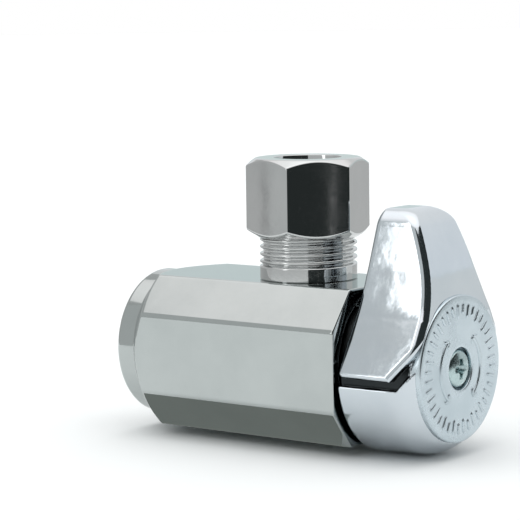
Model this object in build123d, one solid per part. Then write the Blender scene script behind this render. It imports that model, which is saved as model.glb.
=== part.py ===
"""Quarter-turn angle stop valve: 1/2 in NPT female inlet, 3/8 in compression outlet, lever handle.

Frame, in millimetres: the origin is the middle of the inlet mouth. +X runs along the main axis to the
handle, and +Z is the direction of the outlet. The handle is modelled open, along the outlet.
"""
from build123d import *
from math import cos, radians, sin, sqrt, tan
import os

# Body: octagonal bar with a turned ring and a turned chamfer at the inlet
BODY_LENGTH = 41.1
BODY_HEIGHT = 22.5
BODY_WIDTH = 25.6
TOP_FLAT_WIDTH = 17.0
SIDE_FLAT_HEIGHT = 11.6
RING_RADIUS = 11.0
RING_LENGTH = 3.5
RING_ROUNDING = 0.9
OUTLET_X = 28.0

# Inlet: tapping bore of a 1/2 in NPT thread
INLET_BORE_RADIUS = 9.25
INLET_BORE_DEPTH = 14.0
INLET_COUNTERSINK = 0.4
PORT_RADIUS = 3.2
PORT_CONE = 2.0

# Ball and its chamber
BALL_RADIUS = 6.6
CHAMBER_RADIUS = 6.8
SEAT_GAP = 0.08
FIT_GAP = 0.03
INLET_SEAT_BACK = 19.6
INLET_SEAT_LIP = 23.0
SEAT_RELIEF = 1.3
SEAT_RING_SECTION = 1.2
BONNET_SEAT_LIP = 33.0
BONNET_NOSE_X = 34.7
SLOT_WIDTH = 3.0
SLOT_DEPTH = 2.2
TANG_GAP = 0.1

# Outlet: 9/16-24 male thread for 3/8 in outside diameter tube
THREAD_RADIUS = 7.14
NIPPLE_TOP = 22.2
NIPPLE_CHAMFER = 0.5
SHANK_RADIUS = 5.9
SHANK_BOTTOM = 8.2
SOCKET_RADIUS = 4.85
SOCKET_BOTTOM = 14.2
CONE_MOUTH_RADIUS = 5.75
CONE_DEPTH = 3.0
OUTLET_SEAT_RADIUS = 4.85
OUTLET_SEAT_LIP = 4.9
OUTLET_RING_GROOVE = 1.3
OUTLET_RING_SECTION = 1.2

# Ferrule and compression nut, nut at hand-tight
NUT_FLATS = 15.875
NUT_BOTTOM = 17.35
NUT_HEIGHT = 11.6
NUT_ANGLE = 16.0
NUT_TOP_FACE_RADIUS = 7.6
NUT_BOTTOM_FACE_RADIUS = 7.3
NUT_CHAMFER_TILT = 35.0
NUT_THREAD_GAP = 0.08
NUT_THREAD_DEPTH = 7.9
NUT_HOLE_RADIUS = 4.95
NUT_LIP = 2.0
FERRULE_BOTTOM = 20.1
FERRULE_LENGTH = 6.6
FERRULE_RADIUS = 5.75
FERRULE_BORE_RADIUS = 4.83
FERRULE_END_RADIUS = 5.0
FERRULE_TAPER = 1.3
FERRULE_CAVITY_RADIUS = 6.0

# Bonnet, screwed into the handle end of the body
BONNET_THREAD_RADIUS = 8.5
BONNET_COUNTERBORE_RADIUS = 9.2
BONNET_NECK_RADIUS = 7.6
BONNET_NOSE_LENGTH = 2.5
BONNET_RING_SECTION = 1.4
BONNET_FLANGE_RADIUS = 9.6
BONNET_FLANGE_X = 42.3
BONNET_FLATS = 16.0
BONNET_FACE_X = 44.4
BONNET_CHAMFER = 1.2
BONNET_FACE_RADIUS = 7.6
BONNET_CORNER_RADIUS = 9.6
BONNET_BORE_RADIUS = 4.2
BONNET_GROOVE = 1.5
STOP_RADIUS = 10.0
STOP_LENGTH = 1.7
STOP_ARC = 30.0

# Stem
STEM_RADIUS = 4.1
TANG_RADIUS = 3.2
SMALL_GAP = 0.2
STEM_COLLAR_RADIUS = 5.2
STEM_COLLAR_X = 34.8
STEM_COLLAR_LENGTH = 1.4
STEM_END_X = 51.0
STEM_SQUARE = 5.6
STEM_SQUARE_X = 45.6
STEM_SQUARE_CORNER_RADIUS = 3.6
WASHER_THICKNESS = 0.8
STEM_RING_X = (39.0, 42.2)
STEM_RING_SECTION = 1.3
STEM_GROOVE_RADIUS = 2.75
SCREW_HOLE_RADIUS = 1.65

# Handle: half cup under the main axis, lever that flares out to it, raised disc
CUP_BACK_X = 41.75
CUP_RADIUS = 12.75
CUP_DRAFT = 0.3
CUP_INNER_RADIUS = 10.2
CUP_FLOOR_X = 46.6
SHOULDER_X = 49.4
DISC_RADIUS = 10.45
DISC_FACE_X = 54.0
FRONT_X = 53.3
HUB_RADIUS = 5.6
HUB_BACK_X = 45.8
HANDLE_TURN = 90.0
STOP_GAP = 0.6
STOP_RIB_RADIUS = 9.4
STOP_RIB_X = 42.6
STOP_RIB_ARC = 20.0
LEVER_TOP_Z = 22.7
LEVER_TOP_HALF_WIDTH = 4.9
LEVER_WAIST_Z = 15.2
LEVER_WAIST_HALF_WIDTH = 6.3
LEVER_FLARE_Z = 7.6
LEVER_FLARE_HALF_WIDTH = 9.0
LEVER_NOTCH_Z = 3.84
LEVER_FOOT_Z = -0.5
LEVER_FOOT_X = 50.4
LEVER_TOP_X = 49.1
LEVER_FRONT_X = 53.8
LEVER_LEAN = (52.3, 14.9)
LEVER_BACK = ((41.85, 4.0), (42.3, 13.0), (43.5, 22.7))
LEVER_CORNER_ROUNDING = 2.1
LEVER_FRONT_ROUNDING = 2.4
LEVER_BACK_ROUNDING = 1.0
GROOVE_WIDTH = 1.3
GROOVE_DEPTH = 0.8

# Handle screw, M4 pan head
SCREW_HEAD_RADIUS = 2.7
SCREW_HEAD_HEIGHT = 1.5
SCREW_RECESS_RADIUS = 3.0
SCREW_RECESS_DEPTH = 1.3
SCREW_SHANK_RADIUS = 1.6
SCREW_TIP_X = 46.5
SCREW_ROUNDING = 0.6
SCREW_CROSS_LENGTH = 3.0
SCREW_CROSS_WIDTH = 0.8
SCREW_CROSS_DEPTH = 1.0

MAIN_AXIS = Plane.YZ


def along_x(radius, start, end):
    """A cylinder on the main axis."""
    return Pos(start, 0, 0) * extrude(MAIN_AXIS * Circle(radius), end - start)


def along_z(radius, start, end):
    """A cylinder on the outlet axis."""
    return Pos(OUTLET_X, 0, start) * extrude(Circle(radius), end - start)


def turned_about_x(points):
    """A solid turned about the main axis from (x, radius) points."""
    outline = Polyline(*points, close=True)
    return revolve(make_face(Plane.XY * outline), Axis.X)


def turned_about_z(points):
    """A solid turned about the outlet axis from (radius, z) points."""
    outline = Polyline(*points, close=True)
    return Pos(OUTLET_X, 0, 0) * revolve(make_face(Plane.XZ * outline), Axis.Z)


def ring_about_x(radius, section, x):
    """An O-ring on the main axis, with its middle circle's radius and its section's diameter."""
    return Pos(x, 0, 0) * Rot(0, 90, 0) * Torus(radius, section / 2)


def octagon_bar(length):
    """The bar that the body is cut from, with a wide flat on top and a low one on each side."""
    y_out, y_in = BODY_WIDTH / 2, TOP_FLAT_WIDTH / 2
    z_out, z_in = BODY_HEIGHT / 2, SIDE_FLAT_HEIGHT / 2
    quarter = [(y_out, z_in), (y_in, z_out)]
    points = quarter + [(-y, z) for y, z in reversed(quarter)]
    points += [(-y, -z) for y, z in points]
    return extrude(MAIN_AXIS * Polygon(*points, align=None), length)


def make_body():
    corner = sqrt((BODY_WIDTH / 2) ** 2 + (SIDE_FLAT_HEIGHT / 2) ** 2) + 1
    envelope = turned_about_x([
        (0, 0),
        (0, RING_RADIUS),
        (RING_LENGTH, RING_RADIUS),
        (RING_LENGTH + corner - RING_RADIUS, corner),
        (BODY_LENGTH, corner),
        (BODY_LENGTH, 0),
    ])
    body = octagon_bar(BODY_LENGTH) & envelope
    mouth = body.edges().filter_by(GeomType.CIRCLE).sort_by(Axis.X)[0]
    body = fillet(mouth, RING_ROUNDING)
    body -= turned_about_x([
        (-1, 0),
        (-1, INLET_BORE_RADIUS + INLET_COUNTERSINK + 1),
        (INLET_COUNTERSINK, INLET_BORE_RADIUS),
        (INLET_BORE_DEPTH, INLET_BORE_RADIUS),
        (INLET_BORE_DEPTH + PORT_CONE, PORT_RADIUS + PORT_CONE),
        (INLET_BORE_DEPTH + PORT_CONE, PORT_RADIUS),
        (INLET_SEAT_BACK, PORT_RADIUS),
        (INLET_SEAT_BACK, CHAMBER_RADIUS),
        (BONNET_NOSE_X + 1, CHAMBER_RADIUS),
        (BONNET_NOSE_X + 2, BONNET_THREAD_RADIUS + FIT_GAP),
        (BODY_LENGTH - BONNET_GROOVE, BONNET_THREAD_RADIUS + FIT_GAP),
        (BODY_LENGTH - BONNET_GROOVE, BONNET_COUNTERBORE_RADIUS),
        (BODY_LENGTH + 1, BONNET_COUNTERBORE_RADIUS),
        (BODY_LENGTH + 1, 0),
    ])
    body -= along_z(OUTLET_SEAT_RADIUS + FIT_GAP, 0, SHANK_BOTTOM)
    return body - along_z(SHANK_RADIUS, SHANK_BOTTOM, BODY_HEIGHT)


def make_outlet_nipple():
    return turned_about_z([
        (PORT_RADIUS, SHANK_BOTTOM),
        (SHANK_RADIUS - OUTLET_RING_GROOVE, SHANK_BOTTOM),
        (SHANK_RADIUS - OUTLET_RING_GROOVE, SHANK_BOTTOM + OUTLET_RING_GROOVE),
        (SHANK_RADIUS, SHANK_BOTTOM + OUTLET_RING_GROOVE),
        (SHANK_RADIUS, BODY_HEIGHT / 2),
        (THREAD_RADIUS, BODY_HEIGHT / 2),
        (THREAD_RADIUS, NIPPLE_TOP - NIPPLE_CHAMFER),
        (THREAD_RADIUS - NIPPLE_CHAMFER, NIPPLE_TOP),
        (CONE_MOUTH_RADIUS, NIPPLE_TOP),
        (SOCKET_RADIUS, NIPPLE_TOP - CONE_DEPTH),
        (SOCKET_RADIUS, SOCKET_BOTTOM),
        (PORT_RADIUS, SOCKET_BOTTOM - 1),
    ])


def make_outlet_o_ring():
    half = OUTLET_RING_SECTION / 2
    return Pos(OUTLET_X, 0, SHANK_BOTTOM + half + FIT_GAP) * Torus(SHANK_RADIUS - half - FIT_GAP, half)


def ball_space():
    """The ball's sphere with the running gap that its seats are cut to."""
    return Pos(OUTLET_X, 0, 0) * Sphere(BALL_RADIUS + SEAT_GAP)


def make_outlet_seat():
    ring = along_z(OUTLET_SEAT_RADIUS, OUTLET_SEAT_LIP, SHANK_BOTTOM)
    return ring - along_z(PORT_RADIUS, 0, BODY_HEIGHT) - ball_space()


def make_inlet_seat():
    relief_x = INLET_SEAT_BACK + SEAT_RELIEF
    ring = along_x(CHAMBER_RADIUS - FIT_GAP, INLET_SEAT_BACK, INLET_SEAT_LIP)
    ring -= along_x(PORT_RADIUS, 0, BODY_LENGTH)
    ring -= along_x(CHAMBER_RADIUS, 0, relief_x) - along_x(CHAMBER_RADIUS - SEAT_RELIEF, 0, relief_x)
    return ring - ball_space()


def make_inlet_seat_o_ring():
    half = SEAT_RING_SECTION / 2
    middle = CHAMBER_RADIUS - half - FIT_GAP
    return ring_about_x(middle, SEAT_RING_SECTION, INLET_SEAT_BACK + half + FIT_GAP)


def make_bonnet_seat():
    inner = TANG_RADIUS + SMALL_GAP
    contact = BALL_RADIUS + SEAT_GAP
    return turned_about_x([
        (BONNET_NOSE_X, inner),
        (BONNET_NOSE_X, CHAMBER_RADIUS - FIT_GAP),
        (BONNET_SEAT_LIP, CHAMBER_RADIUS - FIT_GAP),
        (BONNET_SEAT_LIP, sqrt(contact**2 - (BONNET_SEAT_LIP - OUTLET_X) ** 2)),
        (OUTLET_X + sqrt(contact**2 - inner**2), inner),
    ])


def make_ball():
    ball = Pos(OUTLET_X, 0, 0) * Sphere(BALL_RADIUS)
    ball -= along_x(PORT_RADIUS, OUTLET_X - 2 * BALL_RADIUS, OUTLET_X)
    ball -= along_z(PORT_RADIUS, 0, 2 * BALL_RADIUS)
    ball -= Pos(OUTLET_X, 0, 0) * Sphere(PORT_RADIUS)
    slot = Box(2 * SLOT_DEPTH, 4 * BALL_RADIUS, SLOT_WIDTH)
    return ball - Pos(OUTLET_X + BALL_RADIUS, 0, 0) * slot


def make_stem():
    tang_back = OUTLET_X + BALL_RADIUS - SLOT_DEPTH + TANG_GAP
    stem = along_x(STEM_COLLAR_RADIUS, STEM_COLLAR_X, STEM_COLLAR_X + STEM_COLLAR_LENGTH)
    stem += along_x(STEM_RADIUS, STEM_COLLAR_X, STEM_SQUARE_X)
    tang = along_x(TANG_RADIUS, tang_back, STEM_COLLAR_X)
    stem += tang & Pos(OUTLET_X, 0, 0) * Box(BODY_LENGTH, BODY_WIDTH, SLOT_WIDTH - TANG_GAP)
    square = Box(STEM_END_X - STEM_SQUARE_X, STEM_SQUARE, STEM_SQUARE)
    end = Pos((STEM_END_X + STEM_SQUARE_X) / 2, 0, 0) * square
    stem += end & along_x(STEM_SQUARE_CORNER_RADIUS, STEM_SQUARE_X, STEM_END_X)
    groove = STEM_RING_SECTION + SMALL_GAP
    for x in STEM_RING_X:
        band = along_x(STEM_RADIUS + 1, x - groove / 2, x + groove / 2)
        stem -= band - along_x(STEM_GROOVE_RADIUS, x - groove, x + groove)
    return stem - along_x(SCREW_HOLE_RADIUS, SCREW_TIP_X - 1, STEM_END_X)


def make_stem_o_ring(x):
    middle = BONNET_BORE_RADIUS - STEM_RING_SECTION / 2 - FIT_GAP
    return ring_about_x(middle, STEM_RING_SECTION, x)


def make_stem_thrust_washer():
    back = STEM_COLLAR_X + STEM_COLLAR_LENGTH
    washer = along_x(STEM_COLLAR_RADIUS, back + FIT_GAP, back + WASHER_THICKNESS)
    return washer - along_x(STEM_RADIUS + 2 * FIT_GAP, back, back + WASHER_THICKNESS)


def make_bonnet():
    washer_end = STEM_COLLAR_X + STEM_COLLAR_LENGTH + WASHER_THICKNESS
    hexagon = Pos(BODY_LENGTH, 0, 0) * extrude(
        MAIN_AXIS * RegularPolygon(BONNET_FLATS / 2, 6, major_radius=False), BONNET_FACE_X - BODY_LENGTH
    )
    rounding = turned_about_x([
        (BODY_LENGTH, 0),
        (BODY_LENGTH, BONNET_CORNER_RADIUS),
        (BONNET_FACE_X - BONNET_CHAMFER, BONNET_CORNER_RADIUS),
        (BONNET_FACE_X, BONNET_FACE_RADIUS),
        (BONNET_FACE_X, 0),
    ])
    bonnet = hexagon & rounding
    bonnet += along_x(BONNET_FLANGE_RADIUS, BODY_LENGTH, BONNET_FLANGE_X)
    stop = along_x(STOP_RADIUS, BONNET_FLANGE_X, BONNET_FLANGE_X + STOP_LENGTH)
    bonnet += stop & sector(-STOP_ARC / 2, STOP_ARC / 2)
    nose_end = BONNET_NOSE_X + BONNET_NOSE_LENGTH
    bonnet += along_x(BONNET_THREAD_RADIUS, nose_end, BODY_LENGTH - BONNET_GROOVE)
    bonnet += along_x(BONNET_NECK_RADIUS, BODY_LENGTH - BONNET_GROOVE, BODY_LENGTH)
    bonnet += along_x(CHAMBER_RADIUS - SMALL_GAP / 2, BONNET_NOSE_X, nose_end)
    bonnet -= along_x(BONNET_BORE_RADIUS, 0, BONNET_FACE_X)
    return bonnet - along_x(STEM_COLLAR_RADIUS + SMALL_GAP, 0, washer_end)


def make_bonnet_o_ring():
    middle = BONNET_NECK_RADIUS + FIT_GAP + BONNET_RING_SECTION / 2
    return ring_about_x(middle, BONNET_RING_SECTION, BODY_LENGTH - BONNET_GROOVE / 2)


def sector(start, end):
    """The wedge of space about the main axis between two angles, counted from -Y and growing to +Z."""
    reach = 3 * CUP_RADIUS
    middle = radians((start + end) / 2)
    half = radians((end - start) / 2)
    corners = [(0, 0)]
    for angle in (middle - half, middle, middle + half):
        corners.append((-reach * cos(angle), reach * sin(angle)))
    return extrude(MAIN_AXIS * Polygon(*corners, align=None), DISC_FACE_X)


def lever_front_view():
    """The lever seen along the main axis: straight sides that flare out to the cup."""
    top = (LEVER_TOP_HALF_WIDTH, LEVER_TOP_Z)
    waist = (LEVER_WAIST_HALF_WIDTH, LEVER_WAIST_Z)
    side = Line(top, waist)
    flare = TangentArc(waist, (LEVER_FLARE_HALF_WIDTH, LEVER_FLARE_Z), tangent=side % 1)
    down = flare % 1
    foot = Line(flare @ 1, flare @ 1 + down * ((LEVER_FOOT_Z - LEVER_FLARE_Z) / down.Y))
    half = side + flare + foot
    half += Line(foot @ 1, (0, LEVER_FOOT_Z)) + Line((0, LEVER_FOOT_Z), (0, LEVER_TOP_Z))
    half += Line((0, LEVER_TOP_Z), top)
    face = make_face(half)
    outline = face + mirror(face, Plane.YZ)
    top_corners = outline.vertices().group_by(Axis.Y)[-1]
    top_corners = [top_corners.sort_by(Axis.X)[0], top_corners.sort_by(Axis.X)[-1]]
    return fillet(top_corners, LEVER_CORNER_ROUNDING)


def lever_side_view():
    """The lever seen along Y: it leans back to the body as it rises, and is cut back under the disc."""
    notch, foot = (LEVER_FRONT_X, LEVER_NOTCH_Z), (LEVER_FOOT_X, LEVER_FOOT_Z)
    back = [(LEVER_BACK[0][0], LEVER_FOOT_Z), *LEVER_BACK]
    lean = ThreePointArc((LEVER_FRONT_X, LEVER_FLARE_Z), LEVER_LEAN, (LEVER_TOP_X, LEVER_TOP_Z))
    outline = Polyline(*back) + Line(back[-1], lean @ 1) + lean
    outline += Line(lean @ 0, notch) + Line(notch, foot) + Line(foot, back[0])
    face = make_face(outline)
    top = face.vertices().group_by(Axis.Y)[-1]
    face = fillet(top.sort_by(Axis.X)[-1], LEVER_FRONT_ROUNDING)
    back_corner = face.vertices().group_by(Axis.Y)[-1].sort_by(Axis.X)[0]
    return fillet(back_corner, LEVER_BACK_ROUNDING)


def make_lever():
    across = extrude(MAIN_AXIS * lever_front_view(), 2 * BODY_LENGTH)
    sideways = Pos(0, BODY_WIDTH, 0) * extrude(Plane.XZ * lever_side_view(), 2 * BODY_WIDTH)
    return across & sideways


def cup(inset):
    """The cup, turned, with a slightly drafted side and a rounded shoulder, all set in by some depth."""
    radius = CUP_RADIUS - inset
    side = Line((CUP_BACK_X, radius), (SHOULDER_X, radius - CUP_DRAFT))
    shoulder = TangentArc(side @ 1, (FRONT_X, DISC_RADIUS - inset), tangent=side % 1)
    outline = side + shoulder + Line(shoulder @ 1, (FRONT_X, 0))
    outline += Polyline((FRONT_X, 0), (CUP_BACK_X, 0), (CUP_BACK_X, radius))
    return revolve(make_face(Plane.XY * outline), Axis.X)


def space_below_lever(gap):
    """All the space below the lever's foot and in front of its notch, from some gap on."""
    run, rise = LEVER_FRONT_X - LEVER_FOOT_X, LEVER_NOTCH_Z - LEVER_FOOT_Z
    foot_z = LEVER_FOOT_Z - gap
    foot_x = LEVER_FOOT_X + gap * (sqrt(run**2 + rise**2) - run) / rise
    reach = 2 * CUP_RADIUS
    corners = [(0, -reach), (foot_x + 2 * run, -reach), (foot_x + 2 * run, foot_z + 2 * rise)]
    corners += [(foot_x, foot_z), (0, foot_z)]
    return Pos(0, reach, 0) * extrude(Plane.XZ * Polygon(*corners, align=None), 2 * reach)


def make_handle():
    handle = make_lever()
    handle += cup(GROOVE_DEPTH) & space_below_lever(0)
    handle += cup(0) & space_below_lever(GROOVE_WIDTH)
    handle += along_x(DISC_RADIUS, SHOULDER_X, DISC_FACE_X)
    pocket = along_x(CUP_INNER_RADIUS, CUP_BACK_X - 1, CUP_FLOOR_X)
    pocket -= along_x(HUB_RADIUS, HUB_BACK_X, CUP_FLOOR_X)
    for start in (-STOP_ARC / 2 - HANDLE_TURN - STOP_GAP - STOP_RIB_ARC, STOP_ARC / 2 + STOP_GAP):
        rib = along_x(CUP_RADIUS, STOP_RIB_X, CUP_FLOOR_X) - along_x(STOP_RIB_RADIUS, 0, CUP_FLOOR_X)
        pocket -= rib & sector(start, start + STOP_RIB_ARC)
    handle -= pocket
    handle -= Pos((STEM_END_X + HUB_BACK_X) / 2, 0, 0) * Box(
        STEM_END_X - HUB_BACK_X + SMALL_GAP, STEM_SQUARE + 2 * FIT_GAP, STEM_SQUARE + 2 * FIT_GAP
    )
    handle -= along_x(SCREW_SHANK_RADIUS + SMALL_GAP, HUB_BACK_X, DISC_FACE_X)
    handle -= along_x(SCREW_RECESS_RADIUS, DISC_FACE_X - SCREW_RECESS_DEPTH, DISC_FACE_X)
    return handle


def make_handle_screw():
    seat_x = DISC_FACE_X - SCREW_RECESS_DEPTH
    head = along_x(SCREW_HEAD_RADIUS, seat_x, seat_x + SCREW_HEAD_HEIGHT)
    head = fillet(head.edges().filter_by(GeomType.CIRCLE).sort_by(Axis.X)[-1], SCREW_ROUNDING)
    screw = head + along_x(SCREW_SHANK_RADIUS, SCREW_TIP_X, seat_x)
    for angle in (0, 90):
        blade = Rot(angle, 0, 0) * Box(2 * SCREW_CROSS_DEPTH, SCREW_CROSS_WIDTH, SCREW_CROSS_LENGTH)
        screw -= Pos(seat_x + SCREW_HEAD_HEIGHT, 0, 0) * blade
    return screw


def make_ferrule():
    top = FERRULE_BOTTOM + FERRULE_LENGTH
    return turned_about_z([
        (FERRULE_BORE_RADIUS, FERRULE_BOTTOM),
        (FERRULE_END_RADIUS, FERRULE_BOTTOM),
        (FERRULE_RADIUS, NIPPLE_TOP + NIPPLE_CHAMFER),
        (FERRULE_RADIUS, top - FERRULE_TAPER),
        (FERRULE_END_RADIUS, top),
        (FERRULE_BORE_RADIUS, top),
    ])


def make_nut():
    top = NUT_BOTTOM + NUT_HEIGHT
    corner = NUT_FLATS / sqrt(3) + 1
    drop = tan(radians(NUT_CHAMFER_TILT))
    hexagon = Rot(0, 0, NUT_ANGLE) * RegularPolygon(NUT_FLATS / 2, 6, major_radius=False)
    nut = Pos(OUTLET_X, 0, NUT_BOTTOM) * extrude(hexagon, NUT_HEIGHT)
    nut &= turned_about_z([
        (0, NUT_BOTTOM),
        (NUT_BOTTOM_FACE_RADIUS, NUT_BOTTOM),
        (corner, NUT_BOTTOM + (corner - NUT_BOTTOM_FACE_RADIUS) * drop),
        (corner, top - (corner - NUT_TOP_FACE_RADIUS) * drop),
        (NUT_TOP_FACE_RADIUS, top),
        (0, top),
    ])
    inner = THREAD_RADIUS + NUT_THREAD_GAP
    return nut - turned_about_z([
        (0, NUT_BOTTOM - 1),
        (inner, NUT_BOTTOM - 1),
        (inner, NUT_BOTTOM + NUT_THREAD_DEPTH),
        (FERRULE_CAVITY_RADIUS, NUT_BOTTOM + NUT_THREAD_DEPTH),
        (NUT_HOLE_RADIUS, top - NUT_LIP),
        (NUT_HOLE_RADIUS, top + 1),
        (0, top + 1),
    ])


PARTS = {
    "valve_body": make_body,
    "outlet_nipple": make_outlet_nipple,
    "outlet_o_ring": make_outlet_o_ring,
    "outlet_seat": make_outlet_seat,
    "inlet_seat": make_inlet_seat,
    "inlet_seat_o_ring": make_inlet_seat_o_ring,
    "bonnet_seat": make_bonnet_seat,
    "bonnet": make_bonnet,
    "bonnet_o_ring": make_bonnet_o_ring,
    "ball": make_ball,
    "stem": make_stem,
    "stem_thrust_washer": make_stem_thrust_washer,
    "handle": make_handle,
    "handle_screw": make_handle_screw,
    "compression_ferrule": make_ferrule,
    "compression_nut": make_nut,
}

os.makedirs("parts", exist_ok=True)
for name, make in PARTS.items():
    export_step(make(), f"parts/{name}.step")
for name, x in zip(("stem_o_ring_inner", "stem_o_ring_outer"), STEM_RING_X):
    export_step(make_stem_o_ring(x), f"parts/{name}.step")
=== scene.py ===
"""Looks of a quarter-turn angle stop valve, built in millimetres around its CAD frame.

+X runs along the main axis from the inlet to the handle, and +Z is the direction of the outlet.
"""
import itertools
from math import cos, pi, radians, sin, tan

import bpy
import numpy as np
from mathutils import Matrix, Vector


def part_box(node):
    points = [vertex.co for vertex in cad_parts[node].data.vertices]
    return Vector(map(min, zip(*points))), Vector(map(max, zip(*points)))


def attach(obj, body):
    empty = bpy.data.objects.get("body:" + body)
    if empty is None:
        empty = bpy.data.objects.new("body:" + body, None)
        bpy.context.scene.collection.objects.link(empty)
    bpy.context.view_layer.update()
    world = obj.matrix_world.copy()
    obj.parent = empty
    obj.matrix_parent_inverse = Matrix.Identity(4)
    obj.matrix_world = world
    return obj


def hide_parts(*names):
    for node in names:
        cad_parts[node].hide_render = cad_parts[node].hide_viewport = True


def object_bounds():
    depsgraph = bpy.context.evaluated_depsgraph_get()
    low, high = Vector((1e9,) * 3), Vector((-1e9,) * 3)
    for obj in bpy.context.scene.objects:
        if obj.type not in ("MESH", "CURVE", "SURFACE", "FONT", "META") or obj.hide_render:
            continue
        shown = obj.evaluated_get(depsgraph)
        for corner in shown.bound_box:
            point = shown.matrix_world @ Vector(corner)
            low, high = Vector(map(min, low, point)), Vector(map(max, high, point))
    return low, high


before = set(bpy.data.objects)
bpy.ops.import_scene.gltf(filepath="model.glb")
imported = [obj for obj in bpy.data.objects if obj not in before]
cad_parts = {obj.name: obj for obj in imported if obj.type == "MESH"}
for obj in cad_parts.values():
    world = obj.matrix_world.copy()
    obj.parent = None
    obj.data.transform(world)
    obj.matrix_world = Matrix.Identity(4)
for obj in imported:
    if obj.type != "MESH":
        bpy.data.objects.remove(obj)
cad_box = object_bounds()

MM = 0.001

# Sizes are in millimetres. A pair is (radius, x) in the body, (half width, z) for the lever's waist and
# flare, and (x, z) for its lean, foot and notch. The shoulder's run is a direction in x and radius.


def node_box(node):
    """Lowest and highest corners of a CAD node in millimetres."""
    return [np.round(np.array(corner) / MM, 4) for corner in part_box(node)]


body_high = node_box("valve_body")[1]
nipple_low, nipple_high = node_box("outlet_nipple")
nut_low, nut_high = node_box("compression_nut")
handle_low, handle_high = node_box("handle")

# Body
BODY_LENGTH, BODY_HALF_WIDTH, BODY_HALF_HEIGHT = body_high
TOP_FLAT_HALF = 8.5
SIDE_FLAT_HALF = 5.8
RING_RADIUS = 11.0
RING_LENGTH = 3.5
RING_ROUNDING = 0.9
BODY_EDGE = 0.22
RING_FILLET = 0.12
CONE_EDGE = 0.16
CORNER_STEPS = 26
OUTSIDE_BODY = 16.0
OUTLET_X = (nipple_low[0] + nipple_high[0]) / 2
BONNET_COUNTERBORE = (9.2, 39.6)
BONNET_THREAD = (8.53, 36.7)
CHAMBER = (6.8, 35.7)
CHAMBER_BACK = 19.6
PORT_RADIUS = 3.2
PORT_CONE = (5.2, 16.0)

# Threads
NPT_PITCH = 25.4 / 14
NPT_DEPTH = 1.0
OUTLET_PITCH = 25.4 / 24
OUTLET_DEPTH = 0.5
THREAD_RADIUS = 7.14
THREAD_GAP = 0.08
THREAD_FLANK = 1.2
THREAD_ROOT = 0.1
INLET_RADIUS = 9.25
INLET_DEPTH = 14.0

# Outlet nipple, nut and ferrule
COLLAR_TOP = 13.1
NIPPLE_TOP = nipple_high[2]
NIPPLE_CHAMFER = 0.36
THREADED_ABOVE_RADIUS = 6.4
SHANK_RADIUS = 5.9
SHANK_BOTTOM = 8.2
SOCKET_RADIUS = 4.85
SOCKET_BOTTOM = 14.2
CONE_MOUTH_RADIUS = 5.85
CONE_BOTTOM = 19.2
SEAT_HOLE = 4.0
NUT_FLATS = 15.875
NUT_BOTTOM = nut_low[2]
NUT_TOP = nut_high[2]
NUT_ANGLE = 16.0
NUT_TOP_FACE = 7.6
NUT_BOTTOM_FACE = 7.3
NUT_CHAMFER = radians(35)
NUT_THREAD_TOP = 25.25
NUT_CAVITY_RADIUS = 6.0
NUT_CAVITY_TOP = 26.95
NUT_HOLE = 4.95
NUT_HOLE_EDGE = 0.12
NUT_EDGE = 0.14
FERRULE_BORE = 4.83
FERRULE_RADIUS = 5.75
FERRULE_BOTTOM = 20.1
FERRULE_TOP = 26.7

# Handle
CUP_BACK = handle_low[0]
CUP_RADIUS = 12.75
SHOULDER_X = 49.4
SHOULDER_RADIUS = 12.45
SHOULDER_RUN = (0.99923, -0.03919)
FRONT_X = 53.3
LEVER_TOP = handle_high[2]
LEVER_TOP_HALF = 4.9
LEVER_WAIST = (6.3, 15.2)
LEVER_FLARE = (9.0, 7.6)
LEVER_FRONT = 53.8
LEVER_LEAN = (52.3, 14.9)
LEVER_TOP_X = 49.1
LEVER_BACK_X = (41.85, 42.3, 43.5)
LEVER_BACK_Z = (4.0, 13.0, LEVER_TOP)
LEVER_EDGE = 1.0
LEVER_CORNER = 2.6
FOOT = (50.4, -0.5)
NOTCH = (LEVER_FRONT, 3.84)
FOOT_EDGE = 0.9
LEVER_BACK_EDGE = 0.3
SEAM = 0.05
CUP_BACK_EDGE = 0.25
CUP_FRONT_EDGE = 0.1
SKIRT_EDGE = 0.2
GROOVE_WIDTH = 1.3
GROOVE_DEPTH = 0.8
POCKET_RADIUS = 10.2
POCKET_X = 46.6
POCKET_FILLET = 0.8
HUB_RADIUS = 5.6
HUB_X = 45.8
HUB_EDGE = 0.3
WELL_RADIUS = 3.15
WELL_X = 52.5
WELL_EDGE = 0.1
HANDLE_CELL = 0.21

# Raised disc and its marks
DISC_X = handle_high[0]
DISC_RADIUS = 10.45
DISC_BACK = 52.3
DISC_EDGE = 0.26
RECESS_RADIUS = 3.0
RECESS_FLOOR = 52.7
TICKS = 40
TICK_OUTER = 9.3
TICK_INNERS = (7.1, 7.6)
ARC_RADIUS = 5.2
ARC_HALF_ANGLE = 0.95
ARROW_RADII = (4.4, 6.0)
ARROW_TURN = 0.18
MARK_WIDTH = 0.55
MARK_HEIGHT = 0.14

# Screw. A part of its cross has a half width at the face, and loses the second number per millimetre.
SCREW_FACE = 54.2
SCREW_DOME_RADIUS = 8.0
SCREW_HEAD_RADIUS = 2.7
SCREW_HEAD_BACK = 52.7
SCREW_SHANK_RADIUS = 1.6
SCREW_TIP = 46.5
CROSS_ARM = (1.55, 0.55)
CROSS_BLADE = (0.42, 0.12)
CROSS_MIDDLE = (0.85, 0.3)
CROSS_DEPTH = 1.1
SCREW_CELL = 0.07

# Stage, in metres and degrees, but for the camera's distance and aim in millimetres
FLOOR_HALF = 6.0
FLOOR_COLOR = (0.73, 0.75, 0.75, 1)
SHADED_LIFT = 0.0001
SHADED_X = (0, 0.0385)
SHADED_Y = (-0.0145, -0.006)
SHADED_COLOR = (0.26, 0.28, 0.265)
DOME_RADIUS = 5
CARD_ROWS = 39
CARD_COLUMNS = 25
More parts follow.
